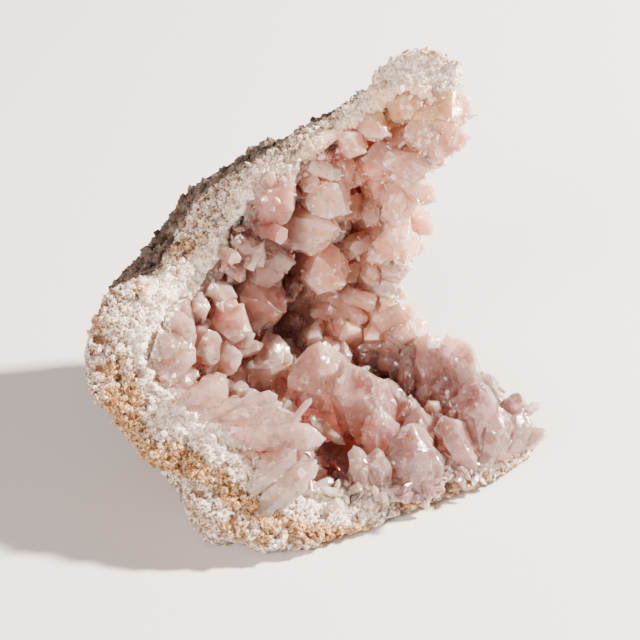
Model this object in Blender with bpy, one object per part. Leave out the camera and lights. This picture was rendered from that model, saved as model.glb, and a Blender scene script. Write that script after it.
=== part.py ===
"""Amethyst geode: a broken piece of a hollow nodule, a rock shell lined with one crust of pink quartz points.

Metres, +Z up, standing on its underside with the origin at the middle of its footprint. The hollow opens
towards -Y and upwards. Sizes are written in millimetres and turned to metres by MM.

The nodule is described in its opening's own frame: across (+X), up the slope of the opening, and back into
the hollow, all measured from the middle of the opening plane.
"""

import math
import random

import bmesh
import bpy
import numpy as np
from mathutils import Matrix, Vector, noise
from mathutils.bvhtree import BVHTree

MM = 0.001

# Where the opening plane's middle stands, and how far that plane leans back from upright.
OPENING_HEIGHT = 31.5
OPENING_LEAN = math.radians(35)
ACROSS = Vector((1, 0, 0))
UP_SLOPE = Vector((0, math.sin(OPENING_LEAN), math.cos(OPENING_LEAN)))
BACKWARD = Vector((0, math.cos(OPENING_LEAN), -math.sin(OPENING_LEAN)))

# The rim, anticlockwise from +X. Each row holds, in degrees and millimetres: where it is around the opening,
# its reach from the middle, how far it is set back, the width of the broken face, and the arc that the
# outer wall turns through from the pole to the rim. Past 90 degrees the wall bulges beyond the rim.
RIM = (
    (10, 17.0, 25.0, 2.0, 92),
    (23, 19.0, 24.0, 2.0, 92),
    (33, 22.5, 20.0, 2.0, 92),
    (44, 25.0, 14.0, 2.5, 92),
    (50, 31.0, 6.0, 3.0, 92),
    (55, 40.5, 2.0, 4.0, 92),
    (60, 48.0, 0.0, 6.5, 92),
    (66, 47.5, 0.0, 6.5, 92),
    (73, 39.0, 2.0, 4.7, 94),
    (82, 33.0, 2.0, 3.7, 100),
    (93, 28.8, 2.0, 3.6, 110),
    (104, 26.3, 3.0, 4.1, 116),
    (118, 24.8, 4.0, 4.6, 118),
    (129, 23.8, 5.0, 5.0, 120),
    (143, 23.0, 5.0, 6.0, 123),
    (162, 23.7, 4.0, 6.0, 125),
    (171, 30.5, 0.0, 9.0, 106),
    (180, 33.0, -1.0, 10.0, 98),
    (191, 35.2, -2.0, 10.0, 98),
    (199, 35.0, -2.0, 9.0, 102),
    (208, 32.5, -2.0, 8.0, 108),
    (220, 32.2, -4.0, 8.2, 106),
    (231, 30.6, -5.0, 8.1, 110),
    (238, 33.0, -6.0, 10.0, 112),
    (246, 35.2, -6.0, 11.7, 114),
    (257, 36.0, -5.0, 11.0, 114),
    (270, 35.8, -3.0, 7.9, 110),
    (281, 35.0, 0.0, 4.8, 102),
    (297, 35.7, 4.0, 2.7, 93),
    (310, 38.5, 8.0, 2.5, 90),
    (321, 42.0, 11.0, 2.0, 90),
    (329, 45.0, 13.5, 2.0, 90),
    (334, 44.0, 15.0, 2.0, 90),
    (339, 37.5, 17.0, 2.0, 90),
    (346, 27.0, 21.0, 2.0, 90),
    (354, 19.5, 25.0, 2.0, 90),
)

# The deepest point of the outer wall, and the rock's thickness there.
POLE_ACROSS = 1.0
POLE_UP = -7.0
POLE_BACK = 38.0
POLE_ROCK = 4.0
RIM_STEP_BACK = 1.0  # how much deeper the broken face's inner edge lies than its outer edge
INNER_TURN_LESS = 0.5  # share of the outer wall's bulge that the inner wall doesn't follow
NORMAL_STEP = 0.01  # how far apart the points are that a wall's normal is taken from

# Polar angles on the starting sphere where the outer wall ends and the inner wall begins, and how far around
# the rim the sphere's faces are halved once more.
OUTER_EDGE = math.radians(78)
INNER_EDGE = math.radians(104)
FINE_FROM = math.radians(58)
FINE_TO = math.radians(112)

FLOOR_CUT = 1.3  # the height, in the opening's frame, of the flat that the piece stands on

LUMP_SIZE = 7.0  # spacing of the lumps on the rock's outside
LUMP_HEIGHT = 1.9
RIM_LUMP_SIZE = 4.5
RIM_LUMP_HEIGHT = 0.9
RIM_LUMPS_FROM = 0.9  # where the rim's own lumps take over, as a share of OUTER_EDGE
LUMP_FADE = 0.35  # the share of the broken face, from its inner edge, over which they die away

SHELL_ROUNDS = 4  # how often each solid's starting sphere is subdivided
CRUST_ROUNDS = 3

CRUST_GAP = 0.4  # between the rock and the crust, so that the two solids stay apart
CRUST_BASE = 2.4  # thickness of the crust under its crystals
CRUST_TOP_SHARE = 0.96  # how far up the inner wall the crust's base reaches
SINK = 1.0  # how deep a crystal's foot is rooted in that base
IN_FRONT = 60.0  # how far before the opening a line towards a crystal's foot starts
HEEL = 0.4  # how far a crystal reaches behind its foot, as a share of its width

QUARTZ_FACE = math.radians(38.2)  # slope of quartz's end faces from the crystal's long axis
SIDE_SPREAD = (0.82, 1.1)  # how far each side face strays from its even place
TIP_SPREAD = (1.02, 1.2)  # how much further out every other end face lies

# Further faces that break up a crystal's end: how many, their slope from its axis, and how far out and up
# they lie, as shares of its width and length. Keen ones leave its point, and blunt ones take it off.
KEEN = ((0, 2), (math.radians(60), math.radians(80)), (0.6, 0.9), (0.45, 0.85))
BLUNT = ((1, 4), (math.radians(32), math.radians(72)), (0.35, 0.8), (0.65, 1.0))

# The larger crystals. Each row holds, in millimetres and degrees: the foot's place across and up the opening,
# the tip's place across and up, how far the tip stands out in front of the foot, the crystal's width, its
# flatness (1 is as thick as wide) and its spin about its own length.
FLOOR_CRYSTALS = (
    (4.0, -14.5, 3.0, -3.5, 5.0, 15.0, 0.85, 0),
    (11.0, -18.0, 7.0, -6.5, 4.0, 11.0, 0.85, 10),
    (-6.5, -11.5, -6.0, -2.0, 5.0, 9.5, 0.9, 10),
    (-18.5, -9.0, -15.0, -1.5, 9.0, 8.0, 0.6, 0),
    (-16.0, -7.5, -8.0, -2.5, 9.0, 5.0, 0.6, 20),
    (-16.5, -9.0, -10.5, -5.5, 10.0, 5.0, 0.6, 0),
    (-17.5, -14.5, -11.5, -8.5, 3.5, 7.5, 0.5, 30),
    (-17.5, -18.0, -18.5, -12.5, 2.5, 4.5, 0.7, 0),
    (-14.5, -15.5, -3.0, -12.0, 2.5, 4.5, 0.5, 20),
    (-15.0, -19.5, 4.0, -18.5, 2.5, 7.0, 0.5, 10),
    (-14.5, -18.5, 0.5, -15.5, 3.0, 6.0, 0.4, 0),
    (-15.0, -18.0, -2.5, -13.0, 3.5, 5.0, 0.45, 0),
    (-8.0, -27.0, -0.5, -21.5, 1.5, 3.6, 0.8, 0),
    (-5.5, -30.5, 3.0, -23.0, 1.5, 4.6, 0.8, 20),
    (10.5, -26.5, 8.5, -20.0, 1.0, 3.5, 0.8, 0),
    (2.5, -30.5, 2.0, -26.0, 2.0, 3.4, 0.9, 0),
    (6.0, -31.0, 5.5, -27.0, 2.0, 3.4, 0.9, 30),
)
FRONT_CRYSTALS = (
    (13.5, -22.0, 13.0, -14.5, 2.5, 6.2, 0.9, 0),
    (19.5, -20.5, 19.5, -14.0, 2.0, 6.5, 0.9, 20),
    (18.5, -24.5, 18.0, -16.5, 3.5, 8.5, 0.85, 10),
    (17.0, -25.5, 16.5, -20.5, 2.0, 3.2, 0.8, 0),
    (13.0, -28.0, 12.5, -20.5, 2.5, 4.2, 0.9, 30),
    (27.5, -24.5, 23.0, -15.5, 3.0, 6.0, 0.7, 0),
    (31.5, -25.5, 26.0, -20.0, 2.5, 5.0, 0.7, 30),
    (22.5, -28.0, 21.5, -20.5, 3.0, 6.2, 0.8, 10),
    (18.0, -30.0, 18.0, -24.5, 2.5, 4.5, 0.9, 0),
    (13.0, -32.0, 13.0, -27.0, 2.0, 4.0, 0.9, 20),
    (25.5, -27.5, 25.0, -22.5, 2.0, 4.2, 0.9, 20),
)
RIGHT_CRYSTALS = (
    (23.0, -12.5, 22.0, -2.0, 3.0, 7.0, 0.85, 0),
    (28.5, -11.5, 25.0, -2.5, 2.0, 6.5, 0.8, 30),
    (26.0, -14.0, 24.5, -8.0, 2.5, 5.8, 0.9, 15),
    (18.5, -12.5, 18.5, -6.0, 1.5, 3.2, 0.9, 0),
    (21.5, -14.0, 21.5, -11.0, 2.0, 3.2, 0.9, 0),
    (30.0, -20.0, 28.5, -9.5, 3.0, 7.2, 0.9, 0),
    (33.0, -15.0, 30.0, -9.0, 1.5, 5.0, 0.8, 20),
    (32.0, -24.0, 33.0, -14.0, 2.5, 6.8, 0.85, 15),
    (35.5, -20.5, 36.5, -12.0, 1.5, 6.2, 0.85, 40),
    (36.5, -24.5, 37.0, -14.5, 2.5, 5.8, 0.8, 10),
    (39.5, -24.0, 40.5, -18.5, 2.0, 4.0, 0.9, 0),
)
UPPER_CRYSTALS = (
    (5.5, 20.5, 3.0, 29.5, 8.0, 7.0, 0.8, 20),
    (2.0, 23.0, 7.5, 17.5, 8.0, 9.5, 0.85, 0),
    (14.5, 23.0, 13.0, 30.0, 10.0, 10.0, 0.9, 20),
    (-6.5, 18.0, -1.0, 23.0, 5.0, 7.5, 0.8, 0),
    (-5.5, 16.5, 7.5, 14.0, 7.0, 9.0, 0.75, 20),
    (0.0, 12.0, 7.5, 6.0, 8.0, 9.5, 0.8, 0),
    (-10.0, 11.0, -1.0, 9.0, 6.0, 10.5, 0.8, 10),
    (-11.5, 4.5, -2.5, 0.5, 8.0, 11.5, 0.85, 30),
    (-17.0, 1.5, -8.0, -2.0, 5.5, 8.0, 0.7, 0),
    (16.5, 16.0, 16.0, 9.0, 3.0, 8.5, 0.8, 0),
    (16.0, 21.0, 16.0, 15.5, 3.0, 6.0, 0.9, 15),
    (12.0, 20.5, 13.0, 16.5, 5.5, 6.0, 0.9, 0),
    (8.0, 21.0, 9.5, 17.5, 5.0, 6.0, 0.9, 0),
    (8.5, 26.0, 10.0, 23.0, 5.0, 6.0, 0.9, 20),
    (19.0, 22.0, 22.5, 19.0, 2.0, 5.0, 0.9, 0),
    (19.5, 18.0, 23.0, 15.0, 1.5, 5.0, 0.9, 30),
    (18.0, 14.0, 21.5, 11.5, 1.5, 4.5, 0.9, 0),
    (17.0, 8.0, 19.5, 9.0, 1.5, 4.5, 0.9, 10),
    (16.5, 4.5, 18.5, 4.0, 1.5, 4.5, 0.9, 0),
    (17.5, 1.5, 20.5, 2.5, 1.5, 4.5, 0.9, 20),
    (19.0, -1.0, 22.0, 0.0, 1.5, 4.5, 0.9, 0),
)
PEAK_CRYSTALS = (
    (16.0, 30.5, 20.5, 32.5, 3.0, 6.0, 0.9, 10),
    (22.0, 37.0, 26.0, 38.0, 2.0, 4.5, 0.9, 0),
    (22.5, 35.0, 27.5, 35.5, 2.0, 4.8, 0.9, 30),
    (23.0, 32.5, 28.0, 33.0, 2.0, 4.8, 0.9, 0),
    (22.5, 30.5, 28.0, 29.5, 2.0, 5.0, 0.9, 20),
    (21.0, 29.0, 25.5, 27.0, 2.5, 5.0, 0.9, 0),
    (19.5, 27.0, 24.0, 25.0, 2.5, 5.0, 0.9, 40),
    (17.0, 26.0, 21.5, 23.5, 3.0, 5.5, 0.9, 10),
    (8.0, 29.0, 10.5, 27.0, 2.5, 5.0, 0.9, 0),
    (17.0, 34.5, 20.0, 35.0, 2.5, 5.0, 0.9, 20),
    (11.5, 32.0, 14.0, 29.5, 3.0, 5.0, 0.9, 0),
)
CRYSTALS = (
    (FLOOR_CRYSTALS, KEEN),
    (FRONT_CRYSTALS, KEEN),
    (RIGHT_CRYSTALS, KEEN),
    (UPPER_CRYSTALS, BLUNT),
    (PEAK_CRYSTALS, BLUNT),
)

# The smaller points between them.
FILLERS = 110
FILLER_TRIES = 6000
FILLER_WIDTH = (3.0, 5.0)
FILLER_SLIMNESS = (0.9, 1.5)  # length as a share of the width
FILLER_SPACING = 0.8  # least distance between neighbours, as a share of their mean width
FILLER_LEAN = 0.6
# The deep hollows between the large crystals, which stay clear of them: across, up and radius.
FILLER_FREE = ((-5.0, -22.5, 4.0), (6.5, -23.5, 4.5), (15.0, -11.5, 3.5))
FILLER_FLATNESS = (0.6, 1.0)
FILLER_LIP_SHARE = 0.3  # how many of the tries are along the crust's lip

CRUST_TRIANGLES = 6800  # what the crust is thinned to

ROCK_CLEARANCE = 0.32  # what a crystal that leans on the rim keeps from the rock

SEED = 7


def material(name, colour, roughness):
    made = bpy.data.materials.new(name)
    made.use_nodes = True
    shader = made.node_tree.nodes["Principled BSDF"]
    shader.inputs["Base Color"].default_value = (*colour, 1)
    shader.inputs["Roughness"].default_value = roughness
    shader.inputs["Metallic"].default_value = 0
    return made


def smooth_round(angle_deg, column):
    """A rim column's value at any angle, by a cubic that never overshoots its rows."""
    angles = np.array([row[0] for row in RIM], float)
    values = np.array([row[column] for row in RIM], float)
    angles = np.concatenate([angles[-2:] - 360, angles, angles[:2] + 360])
    values = np.concatenate([values[-2:], values, values[:2]])
    steps = np.diff(angles)
    rises = np.diff(values) / steps
    slopes = np.zeros(len(angles))
    same_way = rises[:-1] * rises[1:] > 0
    inner = np.zeros(len(rises) - 1)
    inner[same_way] = 2 / (1 / rises[:-1][same_way] + 1 / rises[1:][same_way])
    slopes[1:-1] = inner
    at = angle_deg % 360
    k = int(np.clip(np.searchsorted(angles, at) - 1, 1, len(steps) - 2))
    t = (at - angles[k]) / steps[k]
    h = steps[k]
    return float(
        values[k] * (1 + 2 * t) * (1 - t) ** 2
        + slopes[k] * h * t * (1 - t) ** 2
        + values[k + 1] * t * t * (3 - 2 * t)
        + slopes[k + 1] * h * t * t * (t - 1)
    )


def rim_at(around):
    """The rim's columns at an angle in radians: reach, set back, width of the broken face, and turn."""
    degrees = math.degrees(around)
    reach, back, band, turn = (smooth_round(degrees, column) for column in (1, 2, 3, 4))
    return reach, back, band, math.radians(turn)


def to_world(across, up, back):
    """A point of the opening's frame, in millimetres, as a world position in metres."""
    place = ACROSS * across + UP_SLOPE * up + BACKWARD * back
    place.z += OPENING_HEIGHT
    return place * MM


def wall_point(around, share, inside):
    """A point on the rock's wall, share 0 at the pole and 1 at the rim, on its outside or its inside."""
    reach, back, band, turn = rim_at(around)
    pole_back = POLE_BACK
    lowest = FLOOR_CUT
    if inside:
        reach -= band
        back += RIM_STEP_BACK
        turn -= INNER_TURN_LESS * (turn - math.pi / 2)
        pole_back -= POLE_ROCK
        lowest += POLE_ROCK
    phi = turn * share
    lateral = math.sin(phi) / math.sin(turn)
    rise = (1 - math.cos(phi)) / (1 - math.cos(turn))
    place = to_world(
        POLE_ACROSS * (1 - lateral) + reach * math.cos(around) * lateral,
        POLE_UP * (1 - lateral) + reach * math.sin(around) * lateral,
        pole_back + (back - pole_back) * rise,
    )
    place.z = max(place.z, lowest * MM)
    return place


def wall_frame(around, share):
    """A point on the rock's inside, and the unit normal there, which points into the hollow."""
    step = NORMAL_STEP
    share = max(share, 3 * step)
    along = wall_point(around, share + step, True) - wall_point(around, share - step, True)
    sideways = wall_point(around + step, share, True) - wall_point(around - step, share, True)
    return wall_point(around, share, True), along.cross(sideways).normalized()


def crust_point(around, share, height):
    """A point that stands height millimetres off the rock's inside."""
    place, normal = wall_frame(around, share * CRUST_TOP_SHARE)
    return place + normal * height * MM


def polar_angle(direction):
    return math.acos(max(-1, min(1, -direction.z)))


def bowl(subdivisions, outer, inner):
    """A closed bowl made from a sphere: its lower part becomes the outer wall and its upper part, folded in,
    the inner wall. outer and inner give a point from (around, share)."""
    mesh = bmesh.new()
    bmesh.ops.create_icosphere(mesh, subdivisions=subdivisions, radius=1)
    near_rim = [
        edge
        for edge in mesh.edges
        if all(FINE_FROM < polar_angle(vertex.co) < FINE_TO for vertex in edge.verts)
    ]
    bmesh.ops.subdivide_edges(mesh, edges=near_rim, cuts=1, use_grid_fill=True)
    bmesh.ops.triangulate(mesh, faces=mesh.faces)
    polar = mesh.verts.layers.float.new("polar")
    for vertex in mesh.verts:
        direction = vertex.co.normalized()
        around = math.atan2(direction.y, direction.x)
        angle = polar_angle(direction)
        vertex[polar] = angle
        if angle <= OUTER_EDGE:
            vertex.co = outer(around, angle / OUTER_EDGE)
        elif angle >= INNER_EDGE:
            vertex.co = inner(around, (math.pi - angle) / (math.pi - INNER_EDGE))
        else:
            t = (angle - OUTER_EDGE) / (INNER_EDGE - OUTER_EDGE)
            vertex.co = outer(around, 1).lerp(inner(around, 1), t)
    bmesh.ops.recalc_face_normals(mesh, faces=mesh.faces)
    return mesh


def finish_mesh(name, mesh, collection):
    data = bpy.data.meshes.new(name)
    mesh.to_mesh(data)
    mesh.free()
    made = bpy.data.objects.new(name, data)
    collection.objects.link(made)
    return made


def lump(place, size):
    """Smooth noise from -1 to 1 with lumps this many millimetres apart."""
    at = place / (size * MM)
    return noise.noise(at) + 0.5 * noise.noise(at * 2.1)


def make_shell(collection):
    mesh = bowl(
        SHELL_ROUNDS,
        lambda around, share: wall_point(around, share, False),
        lambda around, share: wall_point(around, share, True),
    )
    polar = mesh.verts.layers.float["polar"]
    mesh.normal_update()
    moves = {}
    for vertex in mesh.verts:
        angle = vertex[polar]
        if angle >= INNER_EDGE:
            continue
        on_rim = (angle / OUTER_EDGE - RIM_LUMPS_FROM) / (1 - RIM_LUMPS_FROM)
        on_rim = max(0.0, min(1.0, on_rim))
        fade = min(1.0, (INNER_EDGE - angle) / (LUMP_FADE * (INNER_EDGE - OUTER_EDGE)))
        outside = LUMP_HEIGHT * lump(vertex.co, LUMP_SIZE)
        broken = RIM_LUMP_HEIGHT * lump(vertex.co, RIM_LUMP_SIZE)
        moves[vertex] = vertex.normal * (outside * (1 - on_rim) + broken * on_rim) * fade * MM
    for vertex, move in moves.items():
        vertex.co += move
        vertex.co.z = max(vertex.co.z, FLOOR_CUT * MM)
    return finish_mesh("geode_shell", mesh, collection)


def make_rock_room(shell, collection):
    """The rock grown by its clearance: the room that no crystal may enter."""
    mesh = bmesh.new()
    mesh.from_mesh(shell.data)
    mesh.normal_update()
    for vertex in mesh.verts:
        vertex.co += vertex.normal * ROCK_CLEARANCE * MM
    return make_cutter("rock_room", mesh, collection)


def make_cutter(name, mesh, collection):
    made = finish_mesh(name, mesh, collection)
    made.hide_render = True
    made.display_type = "WIRE"
    return made


def make_crust_base(collection):
    mesh = bowl(
        CRUST_ROUNDS,
        lambda around, share: crust_point(around, share, CRUST_GAP),
        lambda around, share: crust_point(around, share, CRUST_GAP + CRUST_BASE),
    )
    return finish_mesh("crystal_crust", mesh, collection)


def quartz_point(foot, axis, normal, length, width, flatness, spin, chips, chance):
    """One crystal: a six-sided column under six slanting end faces, cut off in the ground beneath its foot.

    normal is the wall's at the foot, and a flatness below 1 makes the crystal a blade.
    """
    mesh = bmesh.new()
    bmesh.ops.create_cube(mesh, size=4 * length)
    to_axis = axis.to_track_quat("Z", "X").to_matrix() @ Matrix.Rotation(spin, 3, "Z")
    ground = (normal + axis).normalized()
    cuts = [(ground * -SINK * MM, -ground), (axis * -HEEL * width, -axis)]
    for side in range(6):
        turn = side * math.pi / 3
        outwards = Vector((math.cos(turn), math.sin(turn), 0))
        half = width / 2 * math.hypot(outwards.x, flatness * outwards.y) * chance.uniform(*SIDE_SPREAD)
        slant = outwards * math.cos(QUARTZ_FACE) + Vector((0, 0, math.sin(QUARTZ_FACE)))
        top = length * (1 if side % 2 else chance.uniform(*TIP_SPREAD))
        cuts.append((to_axis @ (outwards * half), to_axis @ outwards))
        cuts.append((to_axis @ Vector((0, 0, top)), to_axis @ slant))
    count, slopes, outs, ups = chips
    for _ in range(chance.randint(*count)):
        turn = chance.uniform(0, 2 * math.pi)
        tilt = chance.uniform(*slopes)
        outwards = Vector((math.cos(turn), math.sin(turn), 0))
        half = width / 2 * math.hypot(outwards.x, flatness * outwards.y)
        slant = outwards * math.sin(tilt) + Vector((0, 0, math.cos(tilt)))
        place = outwards * half * chance.uniform(*outs)
        place.z = length * chance.uniform(*ups)
        cuts.append((to_axis @ place, to_axis @ slant))
    for point, normal in cuts:
        everything = mesh.verts[:] + mesh.edges[:] + mesh.faces[:]
        cut = bmesh.ops.bisect_plane(
            mesh, geom=everything, plane_co=point, plane_no=normal, clear_outer=True, dist=1e-7
        )
        edges = [item for item in cut["geom_cut"] if isinstance(item, bmesh.types.BMEdge)]
        if len(edges) > 2:
            bmesh.ops.contextual_create(mesh, geom=edges)
    for vertex in mesh.verts:
        vertex.co += foot
    return mesh


def put_into(target, mesh):
    """Moves one crystal's mesh into the mesh that gathers them all."""
    data = bpy.data.meshes.new("crystal")
    mesh.to_mesh(data)
    mesh.free()
    target.from_mesh(data)
    bpy.data.meshes.remove(data)


def foot_on(tree, across, up):
    """Where the wall lies straight behind a place in the opening, or the lip nearest to it."""
    foot, normal, _, _ = tree.ray_cast(to_world(across, up, -IN_FRONT), BACKWARD)
    if foot is None:
        around = math.atan2(up, across)
        foot, normal, _, _ = tree.find_nearest(to_world(across, up, rim_at(around)[1]))
    return foot, normal


def make_crystals(base, collection):
    chance = random.Random(SEED)
    tree = BVHTree.FromObject(base, bpy.context.evaluated_depsgraph_get())
    every = bmesh.new()
    grown = []
    rows = [(row, chips) for group, chips in CRYSTALS for row in group]
    for (foot_across, foot_up, tip_across, tip_up, out, width, flatness, spin), chips in rows:
        foot, normal = foot_on(tree, foot_across, foot_up)
        depth = (foot - to_world(0, 0, 0)).dot(BACKWARD) / MM
        tip = to_world(tip_across, tip_up, depth - out)
        length = (tip - foot).length
        axis = (tip - foot).normalized()
        spun = math.radians(spin)
        point = quartz_point(foot, axis, normal, length, width * MM, flatness, spun, chips, chance)
        put_into(every, point)
        grown.append((foot, tip, width * MM))
    grow_fillers(every, grown, chance)
    bmesh.ops.recalc_face_normals(every, faces=every.faces)
    return make_cutter("crystals", every, collection)


def distance_to_segment(place, start, end):
    along = end - start
    t = max(0.0, min(1.0, (place - start).dot(along) / along.length_squared))
    return (place - start - along * t).length


def grow_fillers(every, grown, chance):
    """Smaller points wherever the named crystals leave the wall bare."""
    done = 0
    for _ in range(FILLER_TRIES):
        around = chance.uniform(0, 2 * math.pi)
        share = math.acos(1 - chance.uniform(0, 1)) / (math.pi / 2)
        if chance.random() < FILLER_LIP_SHARE:
            share = 1
        wall, normal = wall_frame(around, share * CRUST_TOP_SHARE)
        foot = wall + normal * (CRUST_GAP + CRUST_BASE) * MM
        width = chance.uniform(*FILLER_WIDTH) * MM
        away = foot - to_world(0, 0, 0)
        across, up = away.dot(ACROSS) / MM, away.dot(UP_SLOPE) / MM
        if any(math.hypot(across - x, up - y) < radius for x, y, radius in FILLER_FREE):
            continue
        crowded = any(
            distance_to_segment(foot, start, end) < FILLER_SPACING * (width + other) / 2
            for start, end, other in grown
        )
        if crowded:
            continue
        tilt = Vector([chance.uniform(-1, 1) for _ in range(3)]) * FILLER_LEAN
        axis = (normal + tilt).normalized()
        length = width * chance.uniform(*FILLER_SLIMNESS)
        flatness = chance.uniform(*FILLER_FLATNESS)
        spin = chance.uniform(0, math.pi)
        chips = chance.choice((KEEN, BLUNT))
        point = quartz_point(foot, axis, normal, length, width, flatness, spin, chips, chance)
        put_into(every, point)
        grown.append((foot, foot + axis * length, width))
        done += 1
        if done == FILLERS:
            break


def add_boolean(target, other, operation):
    modifier = target.modifiers.new(other.name, "BOOLEAN")
    modifier.operation = operation
    modifier.object = other
    modifier.solver = "EXACT"
    modifier.use_self = True


def settle(crust):
    """Turns the crust's Booleans into one closed body: no crumbs, and no air sealed inside."""
    bpy.context.view_layer.update()
    evaluated = crust.evaluated_get(bpy.context.evaluated_depsgraph_get())
    data = bpy.data.meshes.new_from_object(evaluated)
    crust.modifiers.clear()
    mesh = bmesh.new()
    mesh.from_mesh(data)
    bmesh.ops.triangulate(mesh, faces=mesh.faces)
    part_touching_crystals(mesh)
    bodies = sorted(bodies_of(mesh), key=len)
    loose = [face for body in bodies[:-1] for face in body]
    bmesh.ops.delete(mesh, geom=loose, context="FACES")
    mesh.to_mesh(crust.data)
    mesh.free()
    bpy.data.meshes.remove(data)
    thin = crust.modifiers.new("thin", "DECIMATE")
    thin.ratio = min(1, CRUST_TRIANGLES / len(crust.data.polygons))
    thin.use_collapse_triangulate = True


def part_touching_crystals(mesh):
    """Closes up each edge where two crystals only touch, so that every edge has two faces."""
    shared = [edge for edge in mesh.edges if len(edge.link_faces) != 2]
    while shared:
        bmesh.ops.collapse(mesh, edges=shared[:1])
        shared = [edge for edge in mesh.edges if len(edge.link_faces) != 2]


def bodies_of(mesh):
    left = set(mesh.faces)
    bodies = []
    while left:
        todo = [left.pop()]
        body = []
        while todo:
            face = todo.pop()
            body.append(face)
            beside = {other for edge in face.edges for other in edge.link_faces} & left
            left -= beside
            todo.extend(beside)
        bodies.append(body)
    return bodies


def stand_on_origin(objects):
    """Places the objects so that the middle of the underside of their common box is the origin."""
    corners = np.array([vertex.co for made in objects for vertex in made.data.vertices])
    middle = (corners.min(axis=0) + corners.max(axis=0)) / 2
    for made in objects:
        made.location = (-middle[0], -middle[1], -corners.min(axis=0)[2])


def main():
    for old in list(bpy.data.objects):
        bpy.data.objects.remove(old)
    geode = bpy.data.collections.new("amethyst_geode")
    cutters = bpy.data.collections.new("cutters")
    bpy.context.scene.collection.children.link(geode)
    bpy.context.scene.collection.children.link(cutters)
    shell = make_shell(geode)
    shell.data.materials.append(material("chalky rock", (0.62, 0.55, 0.48), 0.9))
    crust = make_crust_base(geode)
    crust.data.materials.append(material("pink quartz", (0.72, 0.45, 0.42), 0.2))
    add_boolean(crust, make_crystals(crust, cutters), "UNION")
    add_boolean(crust, make_rock_room(shell, cutters), "DIFFERENCE")
    settle(crust)
    stand_on_origin([shell, crust])


main()
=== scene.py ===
# A broken piece of a pink amethyst geode: a chalky rock shell, open to the front, lined with rose-coloured
# quartz points. Metres, +Z up, standing on the floor with the middle of its footprint at the origin.
import math
import random

import bmesh
import bpy
import numpy as np
from mathutils import Matrix, Vector, noise
from mathutils.bvhtree import BVHTree


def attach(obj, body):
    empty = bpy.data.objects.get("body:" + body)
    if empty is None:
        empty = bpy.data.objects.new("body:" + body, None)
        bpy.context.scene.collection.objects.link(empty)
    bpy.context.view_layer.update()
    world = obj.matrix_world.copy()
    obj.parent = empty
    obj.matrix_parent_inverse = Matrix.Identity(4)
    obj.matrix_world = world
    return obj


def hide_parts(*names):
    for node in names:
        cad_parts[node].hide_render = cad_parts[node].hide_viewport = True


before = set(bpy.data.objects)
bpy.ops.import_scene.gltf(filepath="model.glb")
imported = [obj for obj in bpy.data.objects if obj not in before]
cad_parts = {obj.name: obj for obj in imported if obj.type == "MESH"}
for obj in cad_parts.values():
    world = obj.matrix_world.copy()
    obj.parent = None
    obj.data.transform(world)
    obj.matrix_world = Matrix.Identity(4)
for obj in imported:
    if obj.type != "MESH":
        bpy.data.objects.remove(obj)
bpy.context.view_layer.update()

mm = 0.001
floorGap = 0.02 * mm  # the lowest points stay this far above the floor

# The opening's own frame: its middle, and the ways across it, up its slope and back into the hollow.
opening = {"middle": Vector((-2.95, -7.58, 30.2)) * mm, "lean": math.radians(35)}
acrossAxis = Vector((1, 0, 0))
upAxis = Vector((0, math.sin(opening["lean"]), math.cos(opening["lean"])))
backAxis = Vector((0, math.cos(opening["lean"]), -math.sin(opening["lean"])))

# The camera looks straight into the opening. The clear crystals are set where this view meets the crust.
view = {
    "right": 3.2,  # mm, how far right of the opening's middle it stands
    "away": 0.241,  # m, how far out from the opening
    "lens": 85,  # mm
    "sensor": 36,  # mm
}
eye = opening["middle"] + acrossAxis * view["right"] * mm - backAxis * view["away"]

# Stretches of the opening's edge: from and to in degrees, anticlockwise from its right, and how many degrees
# they take to fade in and out.
stretches = {
    "paleFoot": (184, 322, 10),
    "tanBand": (190, 345, 10),
    "patchyLeft": (186, 214, 8),
    "narrowBand": (232, 300, 12),
    "tanLip": (296, 352, 5),
    "tanLeft": (168, 192, 6),
    "broadWhite": (135, 192, 12),
    "thinWhite": (292, 352, 5),
    "buds": (74, 150, 6),
    "backRight": (8, 62, 10),
    "whiteLip": (138, 280, 8),
    "frontLip": (280, 352, 6),
    "brink": (288, 352, 6),
    "frontRight": (274, 352, 8),
    "upperLip": (64, 140, 8),
    "bareRight": (318, 370, 8),
    "bareEnd": (338, 370, 5),
    "peak": (38, 70, 6),
    "amber": (54, 74, 3),
}


def linear(hexColour):
    # sRGB hex to the linear colour that a socket takes
    channels = [int(hexColour[i : i + 2], 16) / 255 for i in (1, 3, 5)]
    return tuple(c / 12.92 if c <= 0.04045 else ((c + 0.055) / 1.055) ** 2.4 for c in channels) + (1,)


def pick(sockets, name):
    # a socket by number or name; where several share a name, the one in use
    if isinstance(name, int):
        return sockets[name]
    return next(s for s in sockets if s.name == name and s.enabled)


def addNode(tree, kind, inputs=None, **settings):
    # one node with its settings; an input takes a value, a socket, or a node, whose first output feeds it
    node = tree.nodes.new(kind)
    for name, value in settings.items():
        setattr(node, name, value)
    for name, value in (inputs or {}).items():
        into = pick(node.inputs, name)
        if isinstance(value, bpy.types.Node):
            value = next(s for s in value.outputs if s.enabled)
        if isinstance(value, bpy.types.NodeSocket):
            tree.links.new(value, into)
        else:
            into.default_value = value
    return node


def smoothStep(low, high, value):
    t = np.clip((value - low) / (high - low), 0, 1)
    return t * t * (3 - 2 * t)


def newPiece(name, mesh):
    piece = bpy.data.objects.new(name, mesh)
    bpy.context.scene.collection.objects.link(piece)
    return piece


def settled(source, name):
    # the object's evaluated mesh as a plain one; the object itself goes
    bpy.context.view_layer.update()
    mesh = bpy.data.meshes.new_from_object(source.evaluated_get(bpy.context.evaluated_depsgraph_get()))
    mesh.name = name
    bpy.data.objects.remove(source)
    return mesh


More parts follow.
